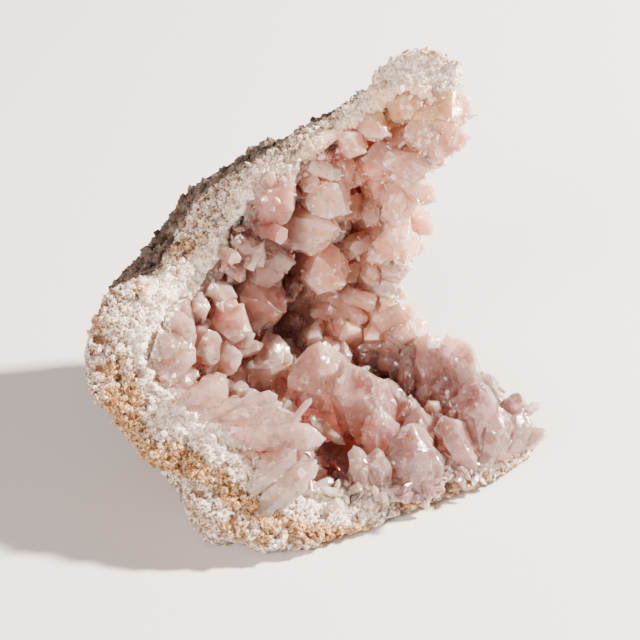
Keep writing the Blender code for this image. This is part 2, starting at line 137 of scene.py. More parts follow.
def mergedCopy(nodeName, name):
    mesh = bmesh.new()
    mesh.from_mesh(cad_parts[nodeName].data)
    bmesh.ops.remove_doubles(mesh, verts=mesh.verts, dist=1e-7)
    data = bpy.data.meshes.new(name)
    mesh.to_mesh(data)
    mesh.free()
    return newPiece(name, data)


def treeOf(piece):
    bpy.context.view_layer.update()
    return BVHTree.FromObject(piece, bpy.context.evaluated_depsgraph_get())


def pointsOf(mesh):
    flat = np.empty(len(mesh.vertices) * 3, np.float32)
    mesh.vertices.foreach_get("co", flat)
    return flat.reshape(-1, 3).astype(float)


def normalsOf(mesh):
    flat = np.empty(len(mesh.vertices) * 3, np.float32)
    mesh.vertex_normals.foreach_get("vector", flat)
    return flat.reshape(-1, 3).astype(float)


def distancesTo(tree, points):
    return np.array([tree.find_nearest(Vector(p))[3] for p in points]) / mm


def noiseAt(points, size, seed, octaves=1):
    # smooth noise from about -1 to 1, with bumps this many millimetres apart
    shift = Vector((seed * 17.3, seed * 7.7, seed * 3.1))
    scale = 1 / (size * mm)
    return np.array([noise.fractal(Vector(p) * scale + shift, 1, 2, octaves) for p in points])


def grainsAt(points, size, seed):
    # rounded grains this many millimetres across: 1 at a grain's middle, 0 in the creases between grains
    shift = Vector((seed * 11.9, seed * 5.3, seed * 2.7))
    scale = 1 / (size * mm)
    values = np.empty(len(points))
    for i, p in enumerate(points):
        near, _ = noise.voronoi(Vector(p) * scale + shift)
        values[i] = 1 - (near[0] / max(near[1], 1e-6)) ** 2
    return values


def setAttribute(mesh, name, values):
    layer = mesh.attributes.get(name) or mesh.attributes.new(name, "FLOAT", "POINT")
    layer.data.foreach_set("value", np.asarray(values, np.float32))


def openingPlace(points):
    # angle around the opening in degrees, reach from its middle and depth behind it in mm
    away = (points - np.array(opening["middle"])) / mm
    across, up, back = (away @ np.array(axis) for axis in (acrossAxis, upAxis, backAxis))
    return np.degrees(np.arctan2(up, across)) % 360, np.hypot(across, up), back


def acrossAndUp(angle, reach):
    # the same place as distances to the right of the opening's middle and up its slope
    return reach * np.cos(np.radians(angle)), reach * np.sin(np.radians(angle))


def hollowShare(angle, reach, wander, holes):
    # 1 inside the round hollows given as across, up and radius in mm from the opening's middle, 0 outside
    across, up = acrossAndUp(angle, reach)
    share = np.zeros(len(across))
    for holeAcross, holeUp, holeReach in holes:
        gap = np.hypot(across - holeAcross, up - holeUp) + wander
        share = np.maximum(share, smoothStep(holeReach * 1.3, holeReach * 0.6, gap))
    return share


def arc(angle, name):
    # 1 along the named stretch of the opening's edge, 0 elsewhere
    start, end, soft = stretches[name]
    middle, half = (start + end) / 2, (end - start) / 2
    off = np.abs((angle - middle + 180) % 360 - 180)
    return 1 - smoothStep(half - soft, half + soft, off)


# The top of the peak, in mm across and up from the opening's middle: it is broader than the solid's, and has
# one rusty spot.
peakTop = {"middle": 21.0, "half": 3.5, "broader": 2.3, "from": 36.5, "full": 41, "rust": (22.0, 44.0)}


def peakShoulders(across, up):
    # how far in metres the top of the peak stands out to both sides, as vectors
    side = np.clip((across - peakTop["middle"]) / peakTop["half"], -1, 1)
    side = side * peakTop["broader"] * mm * smoothStep(peakTop["from"], peakTop["full"], up)
    return side[:, None] * np.array(acrossAxis)


def rustSpot(across, up):
    # 1 on the rusty spot at the very top of the peak
    rustAcross, rustUp = peakTop["rust"]
    return smoothStep(3.2, 1.8, np.hypot(across - rustAcross, up - rustUp))


# Hollows between the crystals, and vugs in the rim: across and up from the opening's middle, and radius, in mm. The
# crust in both is painted wine red as shade.
paintedShadeHollows = ((6.7, -23.0, 5.0), (-4.8, -21.6, 3.4), (14.8, -11.4, 2.8))
rimHollows = (
    (-17.6, -1.5, 1.6), (4.8, 28.4, 1.9), (-23.6, -9.2, 2.1), (-8.6, 16.0, 2.4), (-13.1, 10.2, 2.4),
    (-17.5, -20.0, 0.9), (-21.3, -18.6, 0.8), (-35.5, -3.0, 0.8),
)

# The rock: its mesh, what lies where on it, and its relief.
rock = {
    "middle": (-1.0, 3.0, 30.0),  # mm, a place inside the hollow; what faces it is the inner wall
    "voxel": 0.52,  # mm, the spacing of its mesh
    "intoCrust": 0.8,  # mm, how far the inner wall is moved in, so that it meets the crust
    "granuleSize": 1.6,  # mm, the sugary lumps of the broken rim
    "granuleHeight": 0.85,
    "crumbSize": 0.85,  # mm, the finer lumps on all of it
    "crumbHeight": 0.4,
    "knobSize": 3.2,  # mm, the knobs of the rind
    "knobHeight": 0.8,
    "pitSize": 2.4,
    "pitDepth": 0.7,
    "vugDepth": 0.9,  # mm, how much deeper the named vugs are
}

print("rock: mesh")
rockBase = mergedCopy("geode_shell", "rockBase")
voxels = rockBase.modifiers.new("voxels", "REMESH")
voxels.mode = "VOXEL"
voxels.voxel_size = rock["voxel"] * mm
soften = rockBase.modifiers.new("soften", "SMOOTH")
soften.factor = 0.5
soften.iterations = 5
rockMesh = settled(rockBase, "rockShell")

crustCopy = mergedCopy("crystal_crust", "crustCopy")
crustTree = treeOf(crustCopy)

print("rock: zones on", len(rockMesh.vertices), "points")
points = pointsOf(rockMesh)
normals = normalsOf(rockMesh)
angle, reach, back = openingPlace(points)
# how far back the opening's edge lies at each degree, smoothed
front = np.array([
    np.percentile(back[np.abs((angle - degree + 180) % 360 - 180) < 4], 2) for degree in range(360)
])
front = np.convolve(np.concatenate([front[-6:], front, front[:6]]), np.ones(13) / 13, "valid")
depth = back - front[angle.astype(int) % 360]
outward = points - np.array(rock["middle"]) * mm
outward /= np.linalg.norm(outward, axis=1)[:, None]
facing = (normals * outward).sum(axis=1)
crustGap = distancesTo(crustTree, points)
wander = noiseAt(points, 9, seed=3, octaves=2)
inner = smoothStep(0.1, -0.45, facing)

# Every share below runs from 0 to 1; depths, gaps and places are in mm. First what kind of rock lies where.
rind = smoothStep(1.4, 3.4, depth + 1.8 * wander) * smoothStep(0.0, 0.35, facing)
paleFoot = arc(angle, "paleFoot")
across, up = acrossAndUp(angle, reach)
rind *= 1 - 0.85 * paleFoot * smoothStep(17, 9, depth + 4 * wander)
rind *= 1 - inner
tan = arc(angle, "tanBand") * smoothStep(2.6, 4.6, crustGap + 1.1 * wander)
tan *= 1 - 0.4 * arc(angle, "patchyLeft") * smoothStep(-0.1, 0.3, noiseAt(points, 5, seed=31, octaves=2))
bandEnd = 8.5 - 2.2 * arc(angle, "narrowBand")
tan *= 1 - 0.85 * smoothStep(bandEnd, bandEnd + 2.5, crustGap + 1.5 * wander)
tan = np.maximum(tan, 0.9 * arc(angle, "tanLip") * smoothStep(0.3, 1.2, crustGap))
tan = np.maximum(tan, 0.6 * arc(angle, "tanLeft") * smoothStep(7, 9.5, crustGap + wander))
rusty = rustSpot(across, up)
tan = np.maximum(tan, rusty)
speckle = smoothStep(0.15, 0.4, noiseAt(points, 4.5, seed=21, octaves=3)) * smoothStep(2.0, 4.5, crustGap)
tan = np.maximum(tan, 0.75 * speckle) * (1 - rind)
whiteReach = 3.6 + 2.4 * arc(angle, "broadWhite")
white = smoothStep(whiteReach, whiteReach - 2.8, crustGap + 0.8 * wander) * (1 - rind)
white *= 1 - 0.85 * arc(angle, "thinWhite")
warm = smoothStep(30, 32, up) * smoothStep(38.5, 36.5, up + wander) * smoothStep(10, 13, across) * (1 - rind)
underside = paleFoot * smoothStep(bandEnd, bandEnd + 2, crustGap + 1.2 * wander) * (1 - rind)
glowing = smoothStep(-3, 4, across) * smoothStep(-7, -2, up)
# painted glow: the inner wall behind the glowing crystals is painted pale peach
warm = np.maximum(warm, 0.8 * inner * glowing)
white = np.maximum(white, 0.8 * smoothStep(36.5, 38.5, up + wander) * (1 - rind)) * (1 - rusty)

print("rock: relief")
pits = smoothStep(0.35, 0.7, noiseAt(points, rock["pitSize"], seed=6, octaves=2)) * (1 - 0.75 * white)
pits = np.maximum(pits, smoothStep(0.32, 0.6, noiseAt(points, 1.2, seed=12)) * (1 - white))
pits = np.maximum(pits, smoothStep(0.12, 0.4, noiseAt(points, 1.4, seed=14, octaves=2)) * underside)
vugs = hollowShare(angle, reach, 0.4 * wander, rimHollows) * smoothStep(0.1, 0.5, facing)
pits = np.maximum(pits, vugs)
lift = rock["granuleHeight"] * (grainsAt(points, rock["granuleSize"], seed=1) - 0.5) * (1 - rind)
lift += rock["crumbHeight"] * (grainsAt(points, rock["crumbSize"], seed=2) - 0.5)
lift += rock["knobHeight"] * (grainsAt(points, rock["knobSize"], seed=4) - 0.5) * rind
lift += 0.5 * noiseAt(points, 3.0, seed=5, octaves=3) - rock["pitDepth"] * pits - rock["vugDepth"] * vugs
buried = inner * smoothStep(2.0, 4.5, depth)
lift = lift * (1 - 0.85 * buried) + rock["intoCrust"] * inner
moved = points + normals * lift[:, None] * mm + peakShoulders(across, up)
moved[:, 2] = np.maximum(moved[:, 2], floorGap)
rockMesh.vertices.foreach_set("co", moved.reshape(-1))
zones = {"rind": rind, "tan": tan, "white": white, "pit": pits, "warm": warm}
# painted shade: the inner wall is painted a darker pink deeper into the hollow, less where it is painted to glow
zones["deep"] = inner * smoothStep(3.5, 7, depth) * (1 - 0.8 * glowing)
standing = smoothStep(0.8, 2.5, points[:, 2] / mm)
zones["budShare"] = arc(angle, "buds") * smoothStep(4.0, 1.0, crustGap + wander) * (1 - inner)
zones["rimShare"] = (1 - rind) * (1 - buried) * (1 - pits) * standing * (1 - 0.75 * underside)
zones["rindShare"] = rind * (1 - inner) * standing
for name, values in zones.items():
    setAttribute(rockMesh, name, values)
rockMesh.shade_smooth()
rockShell = newPiece("rockShell", rockMesh)


# The crust: the large crystals, each with its own tint, worn edges and uneven faces.
crust = {
    "edge": 0.1,  # mm, the width of its worn edges
    "edgeAngle": 18,  # degrees, edges sharper than this are worn
    "sharpAngle": 9,  # degrees, edges sharper than this stay crisp in the shading
    "creaseAngle": 0.08,  # radians, a deeper hollow crease parts two crystals
    "longest": 1.3,  # mm, longer edges on its open side are halved
    "openSide": 0.3,  # mm, what lies farther than this from the rock is the open side
    "facet": 2.7,  # mm, the size of the steps and sub-faces on its faces
    "facetSlope": 0.2,
    "facetStep": 0.2,  # mm
    "wavy": 0.1,  # mm, how far its faces stray from flat
    "seed": 4,
}


def tintCrystals(mesh, seed):
    # faces that meet without a hollow crease belong to one crystal, and share a random value
    bm = bmesh.new()
    bm.from_mesh(mesh)
    layer = bm.faces.layers.float.new("crystal")
    chance = random.Random(seed)
    left = {face.index: face for face in bm.faces}
    while left:
        todo = [left.pop(min(left))]
        value = chance.random()
        while todo:
            face = todo.pop()
            face[layer] = value
            for edge in face.edges:
                if len(edge.link_faces) == 2 and edge.calc_face_angle_signed(0) > -crust["creaseAngle"]:
                    for other in edge.link_faces:
                        if left.pop(other.index, None):
                            todo.append(other)
    bm.to_mesh(mesh)
    bm.free()


def halveLongEdges(mesh, longest, hidden, rounds=4):
    # edges on the open side are halved until they are short enough
    bm = bmesh.new()
    bm.from_mesh(mesh)
    bmesh.ops.triangulate(bm, faces=bm.faces)
    for _ in range(rounds):
        long = []
        for edge in bm.edges:
            middle = (edge.verts[0].co + edge.verts[1].co) / 2
            if edge.calc_length() > longest and hidden.find_nearest(middle)[3] > crust["openSide"] * mm:
                long.append(edge)
        bmesh.ops.subdivide_edges(bm, edges=long, cuts=1)
        bmesh.ops.triangulate(bm, faces=bm.faces)
    bm.to_mesh(mesh)
    bm.free()


def bendOf(mesh, points, normals):
    # how sharply the surface bends at each point, above 0 on ridges, and the ends of each edge
    ends = np.empty(len(mesh.edges) * 2, np.int32)
    mesh.edges.foreach_get("vertices", ends)
    ends = ends.reshape(-1, 2)
    along = points[ends[:, 1]] - points[ends[:, 0]]
    along /= np.maximum(np.linalg.norm(along, axis=1), 1e-9)[:, None]
    total = np.zeros(len(points))
    count = np.zeros(len(points))
    for near, sign in ((0, -1), (1, 1)):
        np.add.at(total, ends[:, near], sign * (along * normals[ends[:, near]]).sum(axis=1))
        np.add.at(count, ends[:, near], 1)
    return total / np.maximum(count, 1), ends


def spreadOut(values, ends, rounds):
    # lets values run along the edges to the points nearby
    for _ in range(rounds):
        total = np.zeros(len(values))
        count = np.zeros(len(values))
        for near, far in ((0, 1), (1, 0)):
            np.add.at(total, ends[:, near], values[ends[:, far]])
            np.add.at(count, ends[:, near], 1)
        values = 0.5 * values + 0.5 * total / np.maximum(count, 1)
    return values


def shelterAt(tree, points, normals, reach, rays, seed):
    # the share of the directions out of each point that something nearby closes off
    chance = np.random.default_rng(seed)
    ways = chance.normal(size=(rays, 3))
    ways /= np.linalg.norm(ways, axis=1)[:, None]
    ways = [Vector(way) for way in ways]
    values = np.empty(len(points))
    for i, (p, n) in enumerate(zip(points, normals)):
        n = Vector(n)
        start = Vector(p) + n * 0.15 * mm
        hits = 0
        for way in ways:
            out = (n * 1.05 + way).normalized()
            hits += tree.ray_cast(start, out, reach * mm)[0] is not None
        values[i] = hits / rays
    return values


def facetsAt(points, size, slope, step, seed):
    # steps and slightly tilted sub-faces this many millimetres across
    shift = Vector((seed * 9.1, seed * 4.7, seed * 6.3))
    values = np.empty(len(points))
    for i, p in enumerate(points):
        place = Vector(p) / (size * mm) + shift
        cell = noise.voronoi(place)[1][0]
        turn = noise.noise_vector(cell * 7.7)
        values[i] = slope * size * turn.dot(place - cell) * 2 + step * (noise.noise(cell * 3.3))
    return values


print("crust")
noise.seed_set(crust["seed"])  # otherwise the clock seeds it, and the faces differ from run to run
tintCrystals(crustCopy.data, crust["seed"])
worn = crustCopy.modifiers.new("worn", "BEVEL")
worn.width = crust["edge"] * mm
worn.limit_method = "ANGLE"
worn.angle_limit = math.radians(crust["edgeAngle"])
worn.segments = 2
worn.loop_slide = False
crustMesh = settled(crustCopy, "crystalCrust")
shellCopy = mergedCopy("geode_shell", "shellCopy")
shellTree = treeOf(shellCopy)
rockTree = treeOf(rockShell)
halveLongEdges(crustMesh, crust["longest"] * mm, shellTree)
crustPoints = pointsOf(crustMesh)
crustNormals = normalsOf(crustMesh)
print("crust: zones on", len(crustPoints), "points")
height = distancesTo(shellTree, crustPoints)
bpy.data.objects.remove(shellCopy)
bend, crustEnds = bendOf(crustMesh, crustPoints, crustNormals)
# partly wear, partly a painted highlight: the crystals' ridges are painted paler
ridge = np.clip(spreadOut(smoothStep(0.06, 0.25, bend), crustEnds, 2) * 1.6, 0, 1)
crustAngle, crustReach, crustBack = openingPlace(crustPoints)
crustDepth = crustBack - front[crustAngle.astype(int) % 360]
soft = noiseAt(crustPoints, 6, seed=8)
across, up = acrossAndUp(crustAngle, crustReach)
# Shares from 0 to 1 again: height is how far the crust stands off the rock, in mm.
cap = smoothStep(35.5, 37.5, up + soft)
nearLip = smoothStep(5.5, 1.5, crustDepth + 1.5 * soft) * smoothStep(3.4, 1.0, height)
backRight = np.maximum(arc(crustAngle, "backRight"), smoothStep(-3, 4, across) * smoothStep(-7, -2, up))
lip = np.maximum(nearLip * (1 - 0.85 * backRight), cap)
whiteLip = np.maximum(np.maximum(arc(crustAngle, "whiteLip"), 0.35), cap)
whiteLip = np.maximum(whiteLip, 0.8 * arc(crustAngle, "frontLip") * smoothStep(2.2, 0.8, height))
brink = arc(crustAngle, "brink") * smoothStep(1.3, 0.7, height + 0.3 * soft) * smoothStep(7, 4, crustDepth)
whiteLip *= 1 - brink
hollow = smoothStep(6, 12, crustDepth) * smoothStep(5.0, 1.5, height)
hollow *= 1 - backRight
frontRight = arc(crustAngle, "frontRight")
upperLip = arc(crustAngle, "upperLip")
lowDruse = smoothStep(4, 2, height) * (1 - arc(crustAngle, "bareRight") * smoothStep(1.2, 2.2, height))
lowDruse *= 1 - arc(crustAngle, "bareEnd")
drusy = np.maximum(frontRight * smoothStep(8, 4, crustDepth + soft) * lowDruse, 0.2 * hollow)
drusy *= 1 - 0.9 * lip * (1 - np.maximum(frontRight, upperLip))
drusy = np.maximum(drusy, 0.6 * upperLip * lip)
drusy[height < 0.5] = 0
# painted shade: the crust in the listed hollows and in the rim's vugs is painted dark wine red
dark = hollowShare(crustAngle, crustReach, 0.5 * soft, paintedShadeHollows) * smoothStep(2.5, 5.5, crustDepth)
dark = np.maximum(dark, hollowShare(crustAngle, crustReach, 0.5 * soft, rimHollows)) * smoothStep(6, 3, height)
print("crust: shelter")
shelterCopy = newPiece("shelterCopy", crustMesh)
shelter = shelterAt(treeOf(shelterCopy), crustPoints, crustNormals, reach=14, rays=14, seed=5)
bpy.data.objects.remove(shelterCopy)
shade = smoothStep(0.5, 1.0, spreadOut(shelter, crustEnds, 3)) * (1 - backRight) * (1 - lip)
# painted shade: under the roof the crust is painted a darker, rosier pink
roof = smoothStep(-9, 5, up) * (1 - backRight)
peak = arc(crustAngle, "peak") * smoothStep(27, 33, crustReach) * smoothStep(0.5, 1.0, height) * (1 - cap)
amber = np.maximum(smoothStep(30, 32, up) * (1 - cap) * arc(crustAngle, "amber"), brink)
growth = smoothStep(1.5, 3.0, height) * (1 - lip) * 0.45 * roof * (1 - peak)
move = crust["wavy"] * noiseAt(crustPoints, 2.5, seed=9, octaves=2)
move += facetsAt(crustPoints, crust["facet"], crust["facetSlope"], crust["facetStep"], 1)
move *= smoothStep(0.2, 1.2, height) * (1 - lip)
coarse = 0.45 * (grainsAt(crustPoints, 1.5, seed=6) - 0.4)
fine = 0.2 * (grainsAt(crustPoints, 0.8, seed=7) - 0.5)
move += lip * (coarse + fine)
crustPoints += crustNormals * move[:, None] * mm + peakShoulders(across, up)
crustMesh.vertices.foreach_set("co", crustPoints.reshape(-1))
rusty = rustSpot(across, up)
backSugar = 0.45 * backRight * smoothStep(2, 8, up) * smoothStep(0.8, 1.6, height) * (1 - lip)
crustZones = {
    "lip": lip * whiteLip,
    "shade": shade,
    "deep": dark,
    "ridge": ridge,
    "glow": np.maximum(backRight, peak),
    "drusy": drusy,
    "sugar": np.maximum(lip * smoothStep(0.35, 0.9, whiteLip), brink) * smoothStep(0.2, 0.6, height),
    "roof": roof,
    "white": 0.8 * lip * (1 - brink) * (1 - rusty),
    "tan": np.maximum(brink, rusty),
    "growth": growth,
    "peakShare": np.maximum(peak * (1 - amber), backSugar),
    "amber": amber,
}
for name, values in crustZones.items():
    setAttribute(crustMesh, name, values)
crustMesh.shade_smooth()
crustMesh.set_sharp_from_angle(angle=math.radians(crust["sharpAngle"]))
crystalCrust = newPiece("crystalCrust", crustMesh)
print("crust: faces", len(crustMesh.polygons))


# Shapes that the scatters place: angular grains of rock, and small quartz points.
shapes = {
    "grains": 5,
    "points": 7,
    "half": 0.26,  # half a quartz column's width, when it is one unit long
    "root": 0.3,  # how far it reaches below its foot
    "seed": 11,
}


def shapeCollection(name, makers):
    # the scatters read it, but it isn't in the scene
    collection = bpy.data.collections.new(name)
    for i, bm in enumerate(makers):
        data = bpy.data.meshes.new(f"{name}{i}")
        bmesh.ops.recalc_face_normals(bm, faces=bm.faces)
        bm.to_mesh(data)
        bm.free()
        collection.objects.link(bpy.data.objects.new(f"{name}{i}", data))
    return collection


def grainShape(chance):
    # a lump one unit across, its corners pulled about
    bm = bmesh.new()
    bmesh.ops.create_icosphere(bm, subdivisions=1, radius=0.5)
    for vertex in bm.verts:
        vertex.co *= chance.uniform(0.7, 1.25)
        vertex.co.z *= chance.uniform(0.75, 1.0)
    return bm


def pointShape(chance, tall=1.0, twoEnds=False):
    # a six-sided column this many units long, with an uneven six-sided end, or one at both ends
    bm = bmesh.new()
    bmesh.ops.create_cube(bm, size=4 * tall)
    top = tall - chance.uniform(-0.05, 0.15)
    cuts = [(Vector((0, 0, -shapes["root"])), Vector((0, 0, -1)))]
    for side in range(6):
        turn = side * math.pi / 3
        outwards = Vector((math.cos(turn), math.sin(turn), 0))
        half = shapes["half"] * chance.uniform(0.75, 1.25)
        slant = (outwards + Vector((0, 0, chance.uniform(0.6, 0.95)))).normalized()
        cuts.append((outwards * half, outwards))
        cuts.append((Vector((0, 0, top + chance.uniform(0, 0.16))), slant))
        if twoEnds:
            cuts.append((Vector((0, 0, chance.uniform(-0.16, 0))), outwards - Vector((0, 0, slant.z))))
    for place, normal in cuts:
        geometry = bm.verts[:] + bm.edges[:] + bm.faces[:]
        cut = bmesh.ops.bisect_plane(bm, geom=geometry, plane_co=place, plane_no=normal, clear_outer=True)
        edges = [item for item in cut["geom_cut"] if isinstance(item, bmesh.types.BMEdge)]
        if len(edges) > 2:
            bmesh.ops.contextual_create(bm, geom=edges)
    return bm


chance = random.Random(shapes["seed"])
grainShapes = shapeCollection("grain", [grainShape(chance) for _ in range(shapes["grains"])])
pointShapes = shapeCollection("point", [pointShape(chance) for _ in range(shapes["points"])])


def scatterTree(name, where):
    # sets shapes on a mesh, as densely as its attribute says; each takes the ground's attributes with it
    tree = bpy.data.node_groups.new(name, "GeometryNodeTree")
    tree.interface.new_socket(name="Geometry", in_out="OUTPUT", socket_type="NodeSocketGeometry")
    for label, kind in (
        ("Ground", "Geometry"), ("Shapes", "Collection"), ("Spacing", "Float"), ("Density", "Float"),
        ("Smallest", "Float"), ("Largest", "Float"), ("Slimmest", "Float"), ("Widest", "Float"),
        ("Tilt", "Float"), ("Sink", "Float"), ("Seed", "Int"), ("Finish", "Material"),
    ):
        tree.interface.new_socket(name=label, in_out="INPUT", socket_type=f"NodeSocket{kind}")
    given = addNode(tree, "NodeGroupInput").outputs
    share = addNode(tree, "GeometryNodeInputNamedAttribute", {"Name": where}, data_type="FLOAT")
    spread = addNode(
        tree, "GeometryNodeDistributePointsOnFaces",
        {"Mesh": given["Ground"], "Distance Min": given["Spacing"], "Density Max": given["Density"],
         "Density Factor": share, "Seed": given["Seed"]},
        distribute_method="POISSON",
    )
    even = addNode(tree, "FunctionNodeRandomValue", {"Min": 0.0, "Max": 1.0, "Seed": 1})
    fewLarge = addNode(tree, "ShaderNodeMath", {0: even, 1: 2.2}, operation="POWER")
    size = addNode(
        tree, "ShaderNodeMapRange", {"Value": fewLarge, "To Min": given["Smallest"], "To Max": given["Largest"]}
    )
    slim = addNode(
        tree, "FunctionNodeRandomValue", {"Min": given["Slimmest"], "Max": given["Widest"], "Seed": 2}
    )
    thick = addNode(tree, "ShaderNodeMath", {0: size, 1: slim}, operation="MULTIPLY")
    scale = addNode(tree, "ShaderNodeCombineXYZ", {"X": thick, "Y": thick, "Z": size})
    lean = addNode(tree, "ShaderNodeMath", {0: given["Tilt"], 1: -1.0}, operation="MULTIPLY")
    low = addNode(tree, "ShaderNodeCombineXYZ", {"X": lean, "Y": lean, "Z": 0.0})
    high = addNode(tree, "ShaderNodeCombineXYZ", {"X": given["Tilt"], "Y": given["Tilt"], "Z": 6.28})
    turn = addNode(
        tree, "FunctionNodeRandomValue", {"Min": low, "Max": high, "Seed": 3}, data_type="FLOAT_VECTOR"
    )
    turned = addNode(
        tree, "FunctionNodeRotateRotation", {"Rotation": spread.outputs["Rotation"], "Rotate By": turn},
        rotation_space="LOCAL",
    )
    kinds = addNode(
        tree, "GeometryNodeCollectionInfo",
        {"Collection": given["Shapes"], "Separate Children": True, "Reset Children": True},
    )
    deep = addNode(tree, "ShaderNodeMath", {0: size, 1: given["Sink"]}, operation="MULTIPLY")
    deep = addNode(tree, "ShaderNodeMath", {0: deep, 1: -1.0}, operation="MULTIPLY")
    down = addNode(
        tree, "ShaderNodeVectorMath", {0: spread.outputs["Normal"], "Scale": deep}, operation="SCALE"
    )
    rooted = addNode(tree, "GeometryNodeSetPosition", {"Geometry": spread.outputs["Points"], "Offset": down})
    placed = addNode(
        tree, "GeometryNodeInstanceOnPoints",
        {"Points": rooted, "Instance": kinds, "Pick Instance": True, "Rotation": turned, "Scale": scale},
    )
    shade = addNode(tree, "FunctionNodeRandomValue", {"Min": 0.0, "Max": 1.0, "Seed": 4})
    named = addNode(
        tree, "GeometryNodeStoreNamedAttribute", {"Geometry": placed, "Name": "grainTint", "Value": shade},
        data_type="FLOAT", domain="INSTANCE",
    )
    real = addNode(tree, "GeometryNodeRealizeInstances", {"Geometry": named})
    finished = addNode(tree, "GeometryNodeSetMaterial", {"Geometry": real, "Material": given["Finish"]})
    addNode(tree, "NodeGroupOutput", {"Geometry": finished})
    return tree


def scatter(name, ground, tree, values):
    # runs the tree on a copy of the ground and keeps only what it placed
    holder = newPiece(name + "Ground", ground.data)
    modifier = holder.modifiers.new(name, "NODES")
    modifier.node_group = tree
    for item in tree.interface.items_tree:
        if item.in_out == "INPUT" and item.name in values:
            modifier[item.identifier] = values[item.name]
    mesh = settled(holder, name)
    placed = pointsOf(mesh)
    placed[:, 2] = np.maximum(placed[:, 2], floorGap)
    mesh.vertices.foreach_set("co", placed.reshape(-1))
    print(name, "faces", len(mesh.polygons))
    return newPiece(name, mesh)


# Clear crystals that stand alone in the front: across and up from the opening's middle at the foot and at the
# tip, how far the tip stands forward of the foot, the width, all in mm, and whether both ends are pointed.
clearCrystals = (
    (-0.4, -15.2, 1.8, -12.5, 1.4, 1.0, False),
    (4.0, -17.3, 7.3, -20.0, 0.1, 1.5, True),
    (-6.3, -25.5, -0.6, -20.6, 2.4, 2.3, False),
    (-4.9, -29.2, 2.6, -22.4, 3.4, 2.7, False),
    (-3.4, -29.6, 1.2, -25.4, 2.4, 1.9, False),
)
rootedShare = 0.12  # of its length, that a crystal with one free end sits in the crust


def frontPlace(trees, across, up):
    # the way from the eye to this place in the opening, and how far along it the crust or rock is met
    way = (opening["middle"] + (acrossAxis * across + upAxis * up) * mm - eye).normalized()
    reach = min(tree.ray_cast(eye, way)[3] or 1.0 for tree in trees)
    return way, reach


def standCrystals(name, trees, rows, seed):
    chance = random.Random(seed)
    bm = bmesh.new()
    for footAcross, footUp, tipAcross, tipUp, forward, width, twoEnds in rows:
        way, reach = frontPlace(trees, footAcross, footUp)
        foot = eye + way * reach
        way, _ = frontPlace(trees, tipAcross, tipUp)
        tip = eye + way * (reach - forward * mm)
        if twoEnds:
            foot = eye + (foot - eye) * (1 - forward * mm / reach)
        else:
            foot = foot - (tip - foot) * rootedShare
        scale = width * mm / (2 * shapes["half"])
        length = (tip - foot).length
        one = pointShape(chance, length / scale, twoEnds)
        data = bpy.data.meshes.new(name)
        one.to_mesh(data)
        one.free()
        turn = (tip - foot).to_track_quat("Z", "Y").to_matrix().to_4x4()
        data.transform(Matrix.Translation(foot) @ turn @ Matrix.Scale(scale, 4))
        bm.from_mesh(data)
        bpy.data.meshes.remove(data)
    bmesh.ops.recalc_face_normals(bm, faces=bm.faces)
    mesh = bpy.data.meshes.new(name)
    bm.to_mesh(mesh)
    bm.free()
    return newPiece(name, mesh)


def newMaterial(name):
    made = bpy.data.materials.new(name)
    made.use_nodes = True
    made.node_tree.nodes.clear()
    return made, made.node_tree


# Chalcedony and weathered rock, broken and never polished: dull, powdery and sugary, white where it is clean,
# tan to orange where iron has stained it, and grey-brown on the old outside.
rockLook = {
    "chalk": ("#7f6551", "#fcf2e6"),
    "stain": ("#74492a", "#dcba8c"),
    "rind": ("#241e1d", "#82776f"),
    "clean": ("#c6b09d", "#fffaf3"),
    "speck": "#54392a",
    "rust": "#a4602f",
    "pit": "#6a4632",
    # the peach of the band below the peak, and a painted glow on the inner wall at the back right
    "warm": "#fbd9c0",
    # painted shade for the inner wall deep in the hollow
    "inside": "#cf9080",
    "patch": 3.0,  # mm, the size of the stain's patches
    "grit": 0.4,  # mm
    "gritDepth": 0.00025,  # m
    "speckScale": 1500,  # dark specks, as noise per metre
    "rustScale": 420,
    "roughness": 0.88,
}


